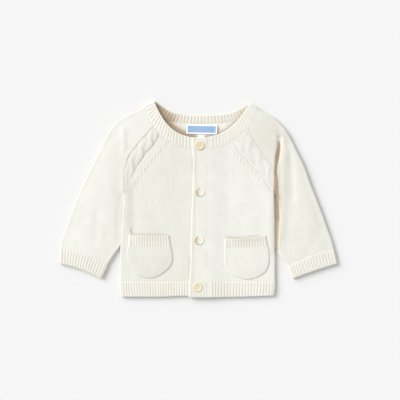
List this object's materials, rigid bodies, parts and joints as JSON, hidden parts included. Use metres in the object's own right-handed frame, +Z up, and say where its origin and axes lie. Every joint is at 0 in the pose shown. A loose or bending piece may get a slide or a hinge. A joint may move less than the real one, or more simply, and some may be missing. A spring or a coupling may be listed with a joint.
{
  "type": "baby cardigan",
  "caption": "Knitted baby cardigan with raglan sleeves, cabled shoulders, patch pockets and a buttoned front, laid flat.",
  "frame": {"origin": "on the surface the cardigan lies on, under the centre of its bounding box", "axes": "+Z up, away from the surface; +Y towards the neck; +X towards the wearer's left sleeve, the viewer's right"},
  "size_m": [0.4191, 0.2951, 0.0123],
  "materials": {
    "knit": "cream fine knit, matte",
    "rib": "cream ribbed knit, matte",
    "button": "pearly cream, glossy",
    "label": "woven blue label with a white border, bare",
    "tab": "white woven tape, bare"
  },
  "bodies": {
    "root": {"back": "knit", "front_right": "knit", "front_left": "knit", "raglan_right": "knit", "raglan_left": "knit", "sleeve_right": "knit", "sleeve_left": "knit", "cuff_right": "rib", "cuff_left": "rib", "hem_back": "rib", "hem_right": "rib", "hem_left": "rib", "neckband": "rib", "band_left": "knit", "band_right": "knit", "pocket_right": "knit", "pocket_left": "knit", "pocket_rib_right": "rib", "pocket_rib_left": "rib", "button_1": "button", "button_2": "button", "button_3": "button", "button_4": "button", "label": "label", "size_tab": "tab"}
  },
  "joints": []
}
